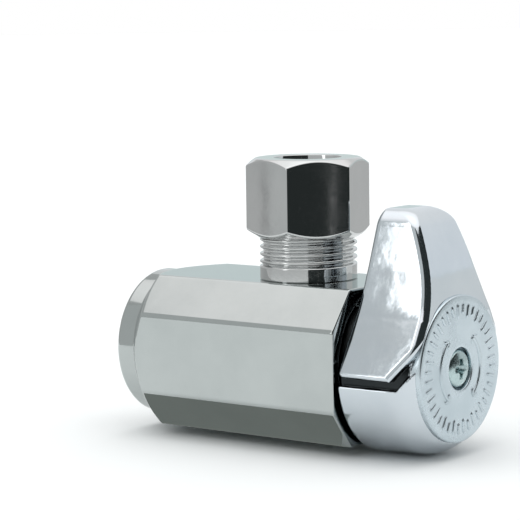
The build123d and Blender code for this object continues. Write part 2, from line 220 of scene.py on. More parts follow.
# Elevation in degrees and colour of the surroundings.
WORLD_LEVELS = [
    (-90, (0.3, 0.3, 0.3)),
    (-2, (0.66, 0.76, 0.73)),
    (7.5, (0.66, 0.75, 0.76)),
    (9.5, (0.90, 0.93, 0.96)),
    (38, (0.98, 0.98, 0.98)),
    (47, (1.38, 1.34, 1.34)),
    (64, (1.5, 1.5, 1.5)),
    (90, (1.9, 1.9, 1.9)),
]
CAMERA_AZIMUTH = 36.991
CAMERA_ELEVATION = 6.455
CAMERA_ROLL = -0.773
CAMERA_DISTANCE = 333.64
CAMERA_AIM = (19.09, 0, 13.33)
CAMERA_LENS = 155.54


def rounded_max(a, b, radius):
    """What two solids share, given and returned as signed distances, with its edge rounded."""
    corner = np.hypot(np.maximum(a + radius, 0), np.maximum(b + radius, 0))
    return np.minimum(np.maximum(a, b), -radius) + corner


def rounded_min(a, b, radius):
    """Two solids joined, as signed distances, with a fillet between them."""
    return -rounded_max(-a, -b, radius)


def slope(solid, points, step=0.004):
    """The gradient of a signed distance at some points."""
    result = np.empty_like(points)
    for k in range(3):
        shift = np.zeros(3)
        shift[k] = step
        result[:, k] = (solid(points + shift) - solid(points - shift)) / (2 * step)
    return result


def settle(solid, points, steps=5):
    """Points moved on to a solid's surface, and the surface's normals there."""
    for _ in range(steps):
        away = slope(solid, points)
        size = np.maximum((away * away).sum(1), 0.05)
        points = points - away * (solid(points) / size)[:, None]
    away = slope(solid, points)
    return points, away / np.linalg.norm(away, axis=1)[:, None]


def surface_net(solid, low, high, cell):
    """Points and quads around a solid, with one point in each cell that its surface crosses."""
    low = np.array(low, float)
    counts = np.ceil((np.array(high) - low) / cell).astype(int) + 1
    axes = [low[k] + cell * np.arange(counts[k]) for k in range(3)]
    grid = np.stack(np.meshgrid(*axes, indexing="ij"), -1)
    inside = solid(grid.reshape(-1, 3)).reshape(counts) < 0
    total = np.zeros(counts - 1, int)
    for i, j, k in itertools.product((0, 1), repeat=3):
        total += inside[i:counts[0] - 1 + i, j:counts[1] - 1 + j, k:counts[2] - 1 + k]
    crossed = (total > 0) & (total < 8)
    index = np.full(crossed.shape, -1)
    index[crossed] = np.arange(crossed.sum())
    points = low + cell * (np.argwhere(crossed) + 0.5)
    quads = []
    for axis in range(3):
        u, v = np.eye(3, dtype=int)[[(axis + 1) % 3, (axis + 2) % 3]]
        before = np.moveaxis(inside, axis, 0)[:-1]
        after = np.moveaxis(inside, axis, 0)[1:]
        for near, far, order in ((before, after, 1), (after, before, -1)):
            edge = np.argwhere(np.moveaxis(near & ~far, 0, axis))
            around = [edge - u - v, edge - v, edge, edge - u][::order]
            quads.append(np.stack([index[tuple(cell_at.T)] for cell_at in around], 1))
    return points, np.concatenate(quads)


def loop_quads(rows, columns, closed=True):
    """Quads between rows of points, where each row is a ring and the last row may join the first."""
    row = np.arange(rows if closed else rows - 1)[:, None]
    column = np.arange(columns)[None]
    beside = (column + 1) % columns
    below = (row + 1) % rows
    corners = (row * columns + column, row * columns + beside,
               below * columns + beside, below * columns + column)
    return np.stack([c.ravel() for c in corners], 1)


def eased(start, end, count):
    """Values from start up to but not including end, closer together near both."""
    t = (1 - np.cos(np.linspace(0, pi, count + 1)[:-1])) / 2
    return start + (end - start) * t


def profile_rows(corners, counts):
    """Points along a closed outline, eased between its corners, with a count for each side."""
    rows = []
    for start, end, count in zip(corners, corners[1:] + corners[:1], counts):
        rows += list(zip(eased(start[0], end[0], count), eased(start[1], end[1], count)))
    return np.array(rows)


def add_piece(name, points, quads, material, body, nodes=(), normals=None):
    """A smooth-shaded mesh piece that rides on a body and stands for some CAD nodes."""
    mesh = bpy.data.meshes.new(name)
    mesh.from_pydata((points * MM).tolist(), [], quads.tolist())
    mesh.polygons.foreach_set("use_smooth", [True] * len(mesh.polygons))
    mesh.set_sharp_from_angle(angle=radians(38))
    if normals is not None:
        mesh.normals_split_custom_set_from_vertices(normals.tolist())
    mesh.materials.append(material)
    piece = bpy.data.objects.new(name, mesh)
    bpy.context.scene.collection.objects.link(piece)
    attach(piece, body)
    if nodes:
        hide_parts(*nodes)
    return piece


# ---------------------------------------------------------------- materials

class Nodes:
    """A material's node tree, with short calls that add a node and give its output socket."""

    def __init__(self, name):
        self.material = bpy.data.materials.new(name)
        self.material.use_nodes = True
        self.tree = self.material.node_tree
        self.shader = self.tree.nodes["Principled BSDF"]
        self.where = self.tree.nodes.new("ShaderNodeTexCoord").outputs["Object"]

    def link(self, source, target):
        self.tree.links.new(source, target)

    def noise(self, scale, detail, roughness=0.5, stretch=None):
        node = self.tree.nodes.new("ShaderNodeTexNoise")
        node.inputs["Scale"].default_value = scale
        node.inputs["Detail"].default_value = detail
        node.inputs["Roughness"].default_value = roughness
        where = self.where
        if stretch:
            mapping = self.tree.nodes.new("ShaderNodeMapping")
            mapping.inputs["Scale"].default_value = stretch
            self.link(where, mapping.inputs["Vector"])
            where = mapping.outputs["Vector"]
        self.link(where, node.inputs["Vector"])
        return node.outputs["Fac"]

    def ranged(self, value, low, high, out_low, out_high):
        node = self.tree.nodes.new("ShaderNodeMapRange")
        for key, number in (("From Min", low), ("From Max", high),
                            ("To Min", out_low), ("To Max", out_high)):
            node.inputs[key].default_value = number
        self.link(value, node.inputs["Value"])
        return node.outputs["Result"]

    def maths(self, operation, a, b):
        node = self.tree.nodes.new("ShaderNodeMath")
        node.operation = operation
        for socket, value in zip(node.inputs, (a, b)):
            if isinstance(value, (int, float)):
                socket.default_value = value
            else:
                self.link(value, socket)
        return node.outputs[0]

    def blend(self, factor, color_a, color_b):
        node = self.tree.nodes.new("ShaderNodeMix")
        node.data_type = "RGBA"
        self.link(factor, node.inputs["Factor"])
        node.inputs["A"].default_value = (*color_a, 1)
        node.inputs["B"].default_value = (*color_b, 1)
        return node.outputs["Result"]

    def bump(self, height, depth, under=None):
        node = self.tree.nodes.new("ShaderNodeBump")
        node.inputs["Distance"].default_value = depth * MM
        self.link(height, node.inputs["Height"])
        if under:
            self.link(under, node.inputs["Normal"])
        return node.outputs["Normal"]


def plated(name, color, shade, roughness, waves, wave_depth, grain_depth, smudge=0.05):
    """Plated metal: long waves left by polishing, fine grain, and faint smudges in its gloss."""
    n = Nodes(name)
    smudges = n.noise(scale=110, detail=5, roughness=0.62)
    grain = n.noise(scale=2600, detail=2)
    n.shader.inputs["Metallic"].default_value = 1.0
    n.link(n.blend(n.ranged(smudges, 0.35, 0.65, 0, 1), color, shade), n.shader.inputs["Base Color"])
    gloss = n.ranged(smudges, 0.45, 0.72, roughness, roughness + smudge)
    gloss = n.maths("ADD", gloss, n.ranged(grain, 0.3, 0.7, 0, 0.02))
    n.link(gloss, n.shader.inputs["Roughness"])
    wavy = n.bump(n.noise(scale=waves, detail=2, roughness=0.4), wave_depth)
    n.link(n.bump(grain, grain_depth, wavy), n.shader.inputs["Normal"])
    return n.material


def turned_metal(name, color, shade, roughness, stretch):
    """Bare metal with the fine rings that a lathe leaves."""
    n = Nodes(name)
    rings = n.noise(scale=2200, detail=2, stretch=stretch)
    stains = n.noise(scale=160, detail=4, roughness=0.6)
    n.shader.inputs["Metallic"].default_value = 1.0
    n.link(n.blend(n.ranged(stains, 0.35, 0.7, 0, 1), color, shade), n.shader.inputs["Base Color"])
    n.link(n.ranged(rings, 0.3, 0.7, roughness, roughness + 0.14), n.shader.inputs["Roughness"])
    n.link(n.bump(rings, 0.006), n.shader.inputs["Normal"])
    return n.material


def moulded(name, color, shade, roughness, grain_scale, depth):
    """Soft moulded or machined plastic and rubber."""
    n = Nodes(name)
    grain = n.noise(scale=grain_scale, detail=4, roughness=0.55)
    mottle = n.noise(scale=220, detail=3)
    n.link(n.blend(n.ranged(mottle, 0.35, 0.65, 0, 1), color, shade), n.shader.inputs["Base Color"])
    n.link(n.ranged(grain, 0.3, 0.7, roughness, roughness + 0.12), n.shader.inputs["Roughness"])
    n.link(n.bump(grain, depth), n.shader.inputs["Normal"])
    return n.material


CHROME = (0.55, 0.558, 0.556)
CHROME_SHADE = (0.51, 0.522, 0.522)
body_chrome = plated("body_chrome", (0.455, 0.485, 0.48), (0.425, 0.455, 0.45), roughness=0.045,
                     waves=170, wave_depth=0.012, grain_depth=0.0006)
nut_chrome = plated("nut_chrome", CHROME, CHROME_SHADE, roughness=0.04,
                    waves=260, wave_depth=0.006, grain_depth=0.0005)
outlet_chrome = plated("outlet_chrome", CHROME, CHROME_SHADE, roughness=0.06,
                       waves=400, wave_depth=0.002, grain_depth=0.0004)
handle_chrome = plated("handle_chrome", (0.62, 0.665, 0.70), (0.58, 0.63, 0.67), roughness=0.06,
                       waves=420, wave_depth=0.018, grain_depth=0.0008)
# Near-black painted shade for the groove under the lever's foot: its faces get this instead of the
# handle's chrome.
handle_groove_painted_shade = plated("handle_groove_painted_shade", (0.02, 0.024, 0.026), (0.03, 0.034, 0.036), roughness=0.2,
                       waves=420, wave_depth=0.01, grain_depth=0.0008)
disc_satin = plated("disc_satin", (0.56, 0.63, 0.67), (0.51, 0.585, 0.625), roughness=0.24,
                    waves=500, wave_depth=0.006, grain_depth=0.003, smudge=0.08)
zinc = turned_metal("zinc", (0.50, 0.62, 0.62), (0.38, 0.48, 0.49), roughness=0.16, stretch=(1, 1, 1))
ball_chrome = plated("ball_chrome", CHROME, CHROME_SHADE, roughness=0.03,
                     waves=300, wave_depth=0.002, grain_depth=0.0003)
brass = turned_metal("brass", (0.80, 0.58, 0.27), (0.68, 0.47, 0.20), roughness=0.18, stretch=(8, 1, 1))
# The bonnet's metal is painted near black: painted shade for where it shows in the gap between the body
# and the handle.
bonnet_painted_shade = turned_metal("bonnet_painted_shade", (0.16, 0.165, 0.17), (0.11, 0.115, 0.12), roughness=0.3,
                             stretch=(8, 1, 1))
ferrule_brass = turned_metal("ferrule_brass", (0.83, 0.62, 0.30), (0.72, 0.50, 0.22), roughness=0.16,
                             stretch=(1, 1, 8))
ptfe = moulded("ptfe", (0.86, 0.86, 0.84), (0.80, 0.80, 0.77), roughness=0.38,
               grain_scale=1500, depth=0.006)
nitrile = moulded("nitrile", (0.018, 0.018, 0.018), (0.03, 0.03, 0.028), roughness=0.5,
                  grain_scale=1200, depth=0.01)


# ---------------------------------------------------------------- threads

def thread_height(along, angle, pitch):
    """From 0 at a thread's root to 1 at its crest. The thread is right-handed: it climbs with angle."""
    turn = (along / pitch - angle / (2 * pi)) % 1.0
    height = np.clip(THREAD_FLANK * (1 - np.abs(2 * turn - 1)) - THREAD_ROOT, 0, 1)
    return height * height * (3 - 2 * height)


def faded(value, start, end):
    """0 before start, 1 after end, and smooth between them."""
    t = np.clip((value - start) / (end - start), 0, 1)
    return t * t * (3 - 2 * t)


# ---------------------------------------------------------------- body

def octagon(across, up, edge):
    """Signed distance from the body's eight sides."""
    y, z = np.abs(across), np.abs(up)
    run, rise = BODY_HALF_WIDTH - TOP_FLAT_HALF, BODY_HALF_HEIGHT - SIDE_FLAT_HALF
    size = np.hypot(run, rise)
    corner = (rise * (y - BODY_HALF_WIDTH) + run * (z - SIDE_FLAT_HALF)) / size
    sides = rounded_max(y - BODY_HALF_WIDTH, corner, edge)
    return rounded_max(sides, z - BODY_HALF_HEIGHT, edge)


def body_skin(p):
    """Signed distance from the body's outside."""
    x, reach = p[:, 0], np.hypot(p[:, 1], p[:, 2])
    ring = reach - RING_RADIUS
    cone = (ring - (x - RING_LENGTH)) / 2**0.5
    end = rounded_min(ring, cone, RING_FILLET)
    skin = rounded_max(octagon(p[:, 1], p[:, 2], BODY_EDGE), end, CONE_EDGE)
    skin = rounded_max(skin, -x, RING_ROUNDING)
    return rounded_max(skin, x - BODY_LENGTH, BODY_EDGE)


def make_body():
    """The body's points, quads and outer normals: its outside, then its bore from the handle's end."""
    corner_angles = np.arctan2([SIDE_FLAT_HALF, BODY_HALF_HEIGHT], [BODY_HALF_WIDTH, TOP_FLAT_HALF])
    a, b = corner_angles
    corners = np.array([-a, a, b, pi - b, pi - a, pi + a, pi + b, 2 * pi - b, 2 * pi - a])
    angle = np.concatenate([eased(s, e, CORNER_STEPS) for s, e in zip(corners, corners[1:])])
    y, z = np.cos(angle), np.sin(angle)
    reach = np.full(len(angle), OUTSIDE_BODY)
    for _ in range(30):
        reach -= octagon(reach * y, reach * z, BODY_EDGE)
    rows = []
    for r in eased(INLET_RADIUS + 0.5, RING_RADIUS - RING_ROUNDING, 5):
        rows.append((0.0, r + 0 * reach))
    for turn in np.linspace(0, pi / 2, 10)[:-1]:
        rows.append((RING_ROUNDING * (1 - cos(turn)),
                     RING_RADIUS - RING_ROUNDING * (1 - sin(turn)) + 0 * reach))
    for x in eased(RING_ROUNDING, RING_LENGTH, 12):
        rows.append((x, RING_RADIUS + 0 * reach))
    for t in eased(0, 1, 26):
        grown = RING_RADIUS + t * (reach - RING_RADIUS)
        rows.append((RING_LENGTH + grown - RING_RADIUS, grown))
    for t in eased(0, 1, 40):
        start = RING_LENGTH + reach - RING_RADIUS
        rows.append((start + t * (BODY_LENGTH - start), reach))
    for t in eased(0, 1, 14):
        rows.append((BODY_LENGTH, reach + t * (BONNET_COUNTERBORE[0] - reach)))
    outer = [np.stack([x + 0 * reach, r * y, r * z], 1) for x, r in rows]
    outer, normals = settle(body_skin, np.concatenate(outer))
    inner = [
        (BODY_LENGTH, BONNET_COUNTERBORE[0]),
        BONNET_COUNTERBORE[::-1],
        (BONNET_COUNTERBORE[1], BONNET_THREAD[0]),
        BONNET_THREAD[::-1],
        CHAMBER[::-1],
        (CHAMBER_BACK, CHAMBER[0]),
        (CHAMBER_BACK, PORT_RADIUS),
        (PORT_CONE[1], PORT_RADIUS),
        PORT_CONE[::-1],
        (INLET_DEPTH, INLET_RADIUS),
    ]
    inner = profile_rows(inner, [3, 2, 6, 3, 28, 3, 3, 3, 4, 0])
    bore = np.linspace(INLET_DEPTH, 0.4, 110)
    inner = np.concatenate([inner, np.stack([bore, 0 * bore + INLET_RADIUS], 1)])
    x, r = np.repeat(inner[:, 0], len(angle)), np.repeat(inner[:, 1], len(angle))
    turn = np.tile(angle, len(inner))
    depth = NPT_DEPTH * faded(x, 0.2, 1.4) * faded(-x, -INLET_DEPTH + 0.2, -INLET_DEPTH + 2.2)
    cut = np.where(x < INLET_DEPTH, thread_height(-x, turn, NPT_PITCH) * depth, 0)
    r = r + cut
    inner = np.stack([x, r * np.cos(turn), r * np.sin(turn)], 1)
    points = np.concatenate([outer, inner])
    normals = np.concatenate([normals, np.zeros_like(inner)])
    quads = loop_quads(len(points) // len(angle), len(angle))
    middle = points[quads].mean(axis=1)
    from_outlet = np.hypot(middle[:, 0] - OUTLET_X, middle[:, 1])
    opening = np.where(middle[:, 2] > BODY_HALF_HEIGHT - 1, SHANK_RADIUS, SEAT_HOLE)
    shut = (middle[:, 2] > 0) & (from_outlet < opening)
    return points, quads[~shut], normals


# ---------------------------------------------------------------- outlet

def turned(rows, angle, radius_at):
    """Points of a turned piece on the outlet axis. radius_at gives a row's radius at each angle."""
    points = []
    for r, z in rows:
        reach = radius_at(r, z, angle)
        x, y = OUTLET_X + reach * np.cos(angle), reach * np.sin(angle)
        points.append(np.stack([x, y, z + 0 * angle], 1))
    return np.concatenate(points)


def outlet_thread(z, angle):
    """Radius of the male thread, which starts above the collar and fades at the nipple's end."""
    depth = OUTLET_DEPTH * faded(z, COLLAR_TOP, COLLAR_TOP + 0.5)
    return THREAD_RADIUS - depth * (1 - thread_height(z, angle, OUTLET_PITCH))


def make_nipple():
    """The nipple as a closed outline: shank, collar, thread, cone mouth, socket and bore."""
    angle = np.linspace(0, 2 * pi, 145)[:-1]
    seat = BODY_HALF_HEIGHT
    rows = [(PORT_RADIUS, SHANK_BOTTOM), (4.6, SHANK_BOTTOM), (4.6, 9.5), (SHANK_RADIUS, 9.5)]
    rows += [(SHANK_RADIUS, seat), (THREAD_RADIUS - 0.14, seat), (THREAD_RADIUS, seat + 0.14)]
    rows += [(THREAD_RADIUS, z) for z in np.linspace(seat + 0.3, NIPPLE_TOP - 0.62, 130)]
    rows += [(6.9, NIPPLE_TOP - NIPPLE_CHAMFER), (6.62, NIPPLE_TOP - 0.06), (6.5, NIPPLE_TOP)]
    rows += [(CONE_MOUTH_RADIUS, NIPPLE_TOP), (CONE_MOUTH_RADIUS - 0.15, NIPPLE_TOP - 0.1)]
    rows += [(SOCKET_RADIUS, CONE_BOTTOM), (SOCKET_RADIUS, SOCKET_BOTTOM)]
    rows += [(PORT_RADIUS, SOCKET_BOTTOM - 1)]

    def radius(r, z, turn):
        thread = outlet_thread(z, turn)
        threaded = z > COLLAR_TOP and r > THREADED_ABOVE_RADIUS
        return np.minimum(r, thread) if threaded else r + 0 * turn

    points = turned(rows, angle, radius)
    return points, loop_quads(len(rows), len(angle))


def nut_skin(p):
    """Signed distance from the nut's outside."""
    x, y, z = p[:, 0] - OUTLET_X, p[:, 1], p[:, 2]
    skin = None
    for k in range(3):
        facing = radians(NUT_ANGLE + 60 * k)
        side = np.abs(x * cos(facing) + y * sin(facing)) - NUT_FLATS / 2
        skin = side if skin is None else rounded_max(skin, side, NUT_EDGE)
    reach = np.hypot(x, y)
    top = (z - NUT_TOP + (reach - NUT_TOP_FACE) * tan(NUT_CHAMFER)) * cos(NUT_CHAMFER)
    bottom = (NUT_BOTTOM - z + (reach - NUT_BOTTOM_FACE) * tan(NUT_CHAMFER)) * cos(NUT_CHAMFER)
    skin = rounded_max(skin, top, NUT_EDGE)
    skin = rounded_max(skin, bottom, NUT_EDGE)
    skin = rounded_max(skin, z - NUT_TOP, NUT_EDGE)
    return rounded_max(skin, NUT_BOTTOM - z, NUT_EDGE)


def make_nut():
    """The nut's points, quads and outer normals: its outside, then its thread, cavity and hole."""
    facet = radians(60)
    first = radians(NUT_ANGLE) + facet / 2
    angle = np.concatenate([eased(first + k * facet, first + (k + 1) * facet, 24) for k in range(6)])
    off = (angle - first) % facet - facet / 2
    reach = NUT_FLATS / 2 / np.cos(off)
    drop = tan(NUT_CHAMFER)
    x, y = np.cos(angle), np.sin(angle)
    flat = eased(NUT_HOLE + NUT_HOLE_EDGE, NUT_TOP_FACE, 8)
    rows = [(r + 0 * reach, NUT_TOP + 0 * reach) for r in flat]
    for t in eased(0, 1, 12):
        r = NUT_TOP_FACE + t * (reach - NUT_TOP_FACE)
        rows.append((r, NUT_TOP - (r - NUT_TOP_FACE) * drop))
    low = NUT_BOTTOM + (reach - NUT_BOTTOM_FACE) * drop
    high = NUT_TOP - (reach - NUT_TOP_FACE) * drop
    rows += [(reach, high + t * (low - high)) for t in eased(0, 1, 30)]
    for t in eased(0, 1, 12):
        r = reach + t * (NUT_BOTTOM_FACE - reach)
        rows.append((r, NUT_BOTTOM + (r - NUT_BOTTOM_FACE) * drop))
    inner_foot = THREAD_RADIUS + THREAD_GAP + 0.05
    outer = [np.stack([OUTLET_X + r * x, r * y, z], 1) for r, z in rows]
    outer, normals = settle(nut_skin, np.concatenate(outer))
    inner = [(inner_foot, NUT_BOTTOM + 0.02)]
    inner += [(0, z) for z in np.linspace(NUT_BOTTOM + 0.1, NUT_THREAD_TOP, 100)]
    inner += [(NUT_CAVITY_RADIUS, NUT_THREAD_TOP), (NUT_HOLE, NUT_CAVITY_TOP)]
    inner += [(NUT_HOLE, NUT_TOP - NUT_HOLE_EDGE)]
    inner += [(NUT_HOLE + NUT_HOLE_EDGE / 3, NUT_TOP - NUT_HOLE_EDGE / 3)]

    def radius(r, z, turn):
        if r:
            return r + 0 * turn
        depth = OUTLET_DEPTH * faded(z, NUT_BOTTOM - 0.2, NUT_BOTTOM + 0.8)
        return THREAD_RADIUS + THREAD_GAP - depth * (1 - thread_height(z, turn, OUTLET_PITCH))

    inner = turned(inner, angle, radius)
    points = np.concatenate([outer, inner])
    normals = np.concatenate([normals, np.zeros_like(inner)])
    return points, loop_quads(len(points) // len(angle), len(angle))[:, ::-1], normals


def make_ferrule():
    """The ferrule as a closed outline with rounded ends."""
    angle = np.linspace(0, 2 * pi, 97)[:-1]
    rows = [(FERRULE_BORE, FERRULE_BOTTOM + 0.05), (4.9, FERRULE_BOTTOM), (5.0, 20.14), (5.05, 20.3)]
    rows += [(5.68, 22.5), (5.73, 22.68), (FERRULE_RADIUS, 22.9)]
    rows += [(FERRULE_RADIUS, z) for z in np.linspace(23.1, 25.2, 6)]
    rows += [(5.73, 25.4), (5.68, 25.55), (5.08, 26.58), (5.0, 26.67)]
    rows += [(4.9, FERRULE_TOP), (FERRULE_BORE, FERRULE_TOP - 0.05)]
    points = turned(rows, angle, lambda r, z, turn: r + 0 * turn)
    return points, loop_quads(len(rows), len(angle))


# ---------------------------------------------------------------- handle

def arc_through(p, q, r):
    """Centre and radius of the circle through three points."""
    (ax, ay), (bx, by), (cx, cy) = p, q, r
    d = 2 * (ax * (by - cy) + bx * (cy - ay) + cx * (ay - by))
    a, b, c = ax * ax + ay * ay, bx * bx + by * by, cx * cx + cy * cy
    x = (a * (by - cy) + b * (cy - ay) + c * (ay - by)) / d
    y = (a * (cx - bx) + b * (ax - cx) + c * (bx - ax)) / d
    return x, y, np.hypot(ax - x, ay - y)


def arc_from(start, end, direction):
    """Centre and radius of the circle that leaves start in a direction and passes end."""
    nx, ny = -direction[1], direction[0]
    dx, dy = end[0] - start[0], end[1] - start[1]
    t = (dx * dx + dy * dy) / (2 * (nx * dx + ny * dy))
    return start[0] + t * nx, start[1] + t * ny, abs(t)


side_run = np.array([LEVER_WAIST[0] - LEVER_TOP_HALF, LEVER_WAIST[1] - LEVER_TOP])
side_run /= np.hypot(*side_run)
flare_arc = arc_from(LEVER_WAIST, LEVER_FLARE, side_run)
flare_out = np.array([flare_arc[1] - LEVER_FLARE[1], LEVER_FLARE[0] - flare_arc[0]])
flare_out /= np.hypot(*flare_out)
flare_out *= -np.sign(flare_out[1])
lean_arc = arc_through((LEVER_FRONT, LEVER_FLARE[1]), LEVER_LEAN, (LEVER_TOP_X, LEVER_TOP))
shoulder_arc = arc_from((SHOULDER_X, SHOULDER_RADIUS), (FRONT_X, DISC_RADIUS), SHOULDER_RUN)


def lever_half_width(z):
    """The lever's half width at a height: straight, then flaring out to the cup."""
    (waist, waist_z), (flare, flare_z) = LEVER_WAIST, LEVER_FLARE
    straight = waist + (z - waist_z) * side_run[0] / side_run[1]
    bend = flare_arc[0] - np.sqrt(np.maximum(flare_arc[2] ** 2 - (z - flare_arc[1]) ** 2, 0.01))
    foot = flare + (z - flare_z) * flare_out[0] / flare_out[1]
    return np.where(z > waist_z, straight, np.where(z > flare_z, bend, foot))


def lever_front(z):
    """X of the lever's front at a height: it leans back above the disc."""
    lean = lean_arc[0] + np.sqrt(np.maximum(lean_arc[2] ** 2 - (z - lean_arc[1]) ** 2, 0.01))
    return np.where(z > LEVER_FLARE[1], lean, LEVER_FRONT)


def lever_back(z):
    """X of the lever's back at a height."""
    return np.interp(z, LEVER_BACK_Z, LEVER_BACK_X)


def sloped(distance, line, z):
    """A distance measured along an axis to a line, made square to that line."""
    lean = (line(z + 0.01) - line(z - 0.01)) / 0.02
    return distance / np.sqrt(1 + lean * lean)


def cup_skin(x, reach, inset):
    """Signed distance from the turned cup, with a slightly drafted side and a rounded shoulder."""
    draft = (SHOULDER_RADIUS - CUP_RADIUS) / (SHOULDER_X - CUP_BACK)
    side = reach - (CUP_RADIUS + (x - CUP_BACK) * draft)
    shoulder = np.hypot(x - shoulder_arc[0], reach - shoulder_arc[1]) - shoulder_arc[2]
    wall = np.where(x > SHOULDER_X, np.maximum(shoulder, reach - SHOULDER_RADIUS), side)
    cup = rounded_max(wall + inset, x - FRONT_X, CUP_FRONT_EDGE)
    return rounded_max(cup, CUP_BACK - x, CUP_BACK_EDGE)


def below_lever(x, z):
    """Distance below the lever's foot, or in front of the notch that cuts its foot's corner off."""
    run, rise = NOTCH[0] - FOOT[0], NOTCH[1] - FOOT[1]
    notch = ((x - FOOT[0]) * rise - (z - FOOT[1]) * run) / np.hypot(run, rise)
    return np.maximum(FOOT[1] - z, notch)


def handle_skin(p):
    """Signed distance from the handle's casting, without its raised disc.

    The lever is cut by its front and side views. Under it a core closes the groove's floor, and the
    skirt is the lower half of the cup. The pocket is hollowed from behind around a hub.
    """
    x, y, z = p[:, 0], np.abs(p[:, 1]), p[:, 2]
    reach = np.hypot(y, z)
    below = below_lever(x, z)
    sides = sloped(y - lever_half_width(z), lever_half_width, z)
    front_view = rounded_max(sides, z - LEVER_TOP, LEVER_CORNER)
    front = sloped(x - lever_front(z), lever_front, z)
    back = sloped(lever_back(z) - x, lever_back, z)
    side_view = rounded_max(front, z - LEVER_TOP, LEVER_CORNER)
    side_view = rounded_max(side_view, back, LEVER_BACK_EDGE)
    lever = rounded_max(rounded_max(front_view, side_view, LEVER_EDGE), below, FOOT_EDGE)
    core = np.maximum(cup_skin(x, reach, GROOVE_DEPTH), -below - 2 * FOOT_EDGE)
    plug = np.maximum(reach - DISC_RADIUS + 0.1, np.maximum(x - FRONT_X, SHOULDER_X - x))
    core = np.minimum(core, plug)
    skirt = rounded_max(cup_skin(x, reach, 0), GROOVE_WIDTH - below, SKIRT_EDGE)
    skin = rounded_min(rounded_min(lever, core, SEAM), skirt, SEAM)
    pocket = rounded_max(reach - POCKET_RADIUS, x - POCKET_X, POCKET_FILLET)
    hub = rounded_max(reach - HUB_RADIUS, HUB_X - x, HUB_EDGE)
    skin = rounded_max(skin, -rounded_max(pocket, -hub, HUB_EDGE), SKIRT_EDGE)
    well = rounded_max(reach - WELL_RADIUS, WELL_X - x, WELL_EDGE)
    return rounded_max(skin, -well, WELL_EDGE)


def make_handle():
    """The casting's points, quads and normals, from a net settled on its skin."""
    margin = 0.5
    low = (CUP_BACK - margin, -CUP_RADIUS - margin, -CUP_RADIUS - margin)
    high = (DISC_X, CUP_RADIUS + margin, LEVER_TOP + margin)
    points, quads = surface_net(handle_skin, low, high, HANDLE_CELL)
    points, normals = settle(handle_skin, points)
    return points, quads, normals


def in_groove(middles):
    """Which face middles of the handle lie in the groove between the lever's foot and the cup, where
    shade is painted.
    """
    x, reach = middles[:, 0], np.hypot(middles[:, 1], middles[:, 2])
    below = below_lever(x, middles[:, 2])
    sunk = (cup_skin(x, reach, 0) < -0.12) & (reach > POCKET_RADIUS + 0.3)
    return sunk & (below > -0.1) & (below < GROOVE_WIDTH + 0.05)


def make_disc():
    """The raised disc with the screw's recess, turned about the main axis."""
    angle = np.linspace(0, 2 * pi, 145)[:-1]
    rows = [(DISC_RADIUS, x) for x in (52.6, FRONT_X, DISC_X - DISC_EDGE)]
    for turn in np.linspace(0.4, pi / 2, 4):
        rows.append((DISC_RADIUS - DISC_EDGE * (1 - cos(turn)), DISC_X - DISC_EDGE * (1 - sin(turn))))
    rows += [(r, DISC_X) for r in np.linspace(9.5, 3.6, 8)]
    rows += [(3.2, DISC_X), (3.12, 53.98), (3.04, 53.92), (RECESS_RADIUS, 53.82)]
    rows += [(RECESS_RADIUS, RECESS_FLOOR + 0.1), (2.9, RECESS_FLOOR), (1.95, RECESS_FLOOR)]
    rows += [(1.95, DISC_BACK), (9.8, DISC_BACK)]
    points = [np.stack([x + 0 * angle, r * np.cos(angle), r * np.sin(angle)], 1) for r, x in rows]
    return np.concatenate(points), loop_quads(len(rows), len(angle))


def stroke(path, width, height):
    """A raised rounded stroke on the disc's face along (y, z) points."""
    path = np.array(path, float)
    along = np.gradient(path, axis=0)
    along /= np.linalg.norm(along, axis=1)[:, None]
    side = np.stack([-along[:, 1], along[:, 0]], 1)
    run = np.concatenate([[0], np.cumsum(np.linalg.norm(np.diff(path, axis=0), axis=1))])
    end = np.minimum(run, run[-1] - run) / (width / 2)
    swell = np.sqrt(np.clip(1 - (1 - np.clip(end, 0, 1)) ** 2, 0.02, 1))
    across = np.array([-1, -0.92, -0.6, 0, 0.6, 0.92, 1])
    lift = np.array([-0.25, 0.35, 0.9, 1, 0.9, 0.35, -0.25])
    points = []
    for at, out, s in zip(path, side, swell):
        yz = at + np.outer(across * width / 2 * s, out)
        x = DISC_X + height * np.where(lift > 0, lift * s, lift)
        points.append(np.stack([x, yz[:, 0], yz[:, 1]], 1))
    rows, columns = len(path), len(across)
    quads = loop_quads(rows, columns, closed=False)[:, ::-1]
    return np.concatenate(points), quads


def make_marks():
    """Plain ticks round the disc's rim and two arcs with arrowheads about the screw."""
    strokes = []
    for k in range(TICKS):
        a = 2 * pi * (k + 0.5) / TICKS
        radii = np.linspace(TICK_INNERS[k % 2], TICK_OUTER, 9)
        strokes.append([(r * cos(a), r * sin(a)) for r in radii])
    for middle in (0, pi):
        sweep = np.linspace(middle - ARC_HALF_ANGLE, middle + ARC_HALF_ANGLE, 40)
        strokes.append([(ARC_RADIUS * cos(a), ARC_RADIUS * sin(a)) for a in sweep])
        for tip, turn in ((sweep[0], 1), (sweep[-1], -1)):
            point = (ARC_RADIUS * cos(tip), ARC_RADIUS * sin(tip))
            for r in ARROW_RADII:
                a = tip + turn * ARROW_TURN
                strokes.append(np.linspace(point, (r * cos(a), r * sin(a)), 8))
    points, quads, count = [], [], 0
    for path in strokes:
        p, q = stroke(path, MARK_WIDTH, MARK_HEIGHT)
        points.append(p)
        quads.append(q + count)
        count += len(p)
    return np.concatenate(points), np.concatenate(quads)


